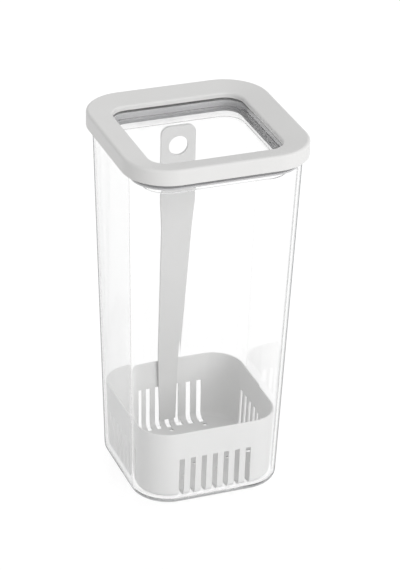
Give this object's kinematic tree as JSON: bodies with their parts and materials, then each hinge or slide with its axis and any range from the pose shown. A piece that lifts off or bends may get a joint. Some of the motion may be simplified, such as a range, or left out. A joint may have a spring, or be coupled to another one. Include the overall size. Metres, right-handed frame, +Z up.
{
  "type": "herb keeper canister",
  "caption": "Tall clear square canister with rounded corners, a press-on framed lid with a clear window and seal, and a slotted lift-out basket with a strap handle.",
  "frame": {"origin": "centre of the flat base the canister stands on", "axes": "+Z up; +Y towards the wall that carries the basket's strap handle; +X to the right seen from the front (-Y)"},
  "size_m": [0.11, 0.11, 0.2226],
  "materials": {
    "clear_shell": "gloss clear plastic",
    "basket_plastic": "satin",
    "clear_window": "gloss clear plastic",
    "frame_plastic": "satin",
    "seal_silicone": "satin"
  },
  "bodies": {
    "container": {"container": "clear_shell"},
    "basket": {"basket": "basket_plastic", "handle": "basket_plastic"},
    "lid": {"lid_frame": "frame_plastic", "lid_window": "clear_window", "lid_seal": "seal_silicone"}
  },
  "joints": [
    {"name": "basket_lift", "type": "slide", "parent": "container", "child": "basket", "axis": [0, 0, 1], "range_m": [0, 0.23]},
    {"name": "lid_lift", "type": "slide", "parent": "basket", "child": "lid", "axis": [0, 0, 1], "range_m": [0, 0.12]}
  ]
}
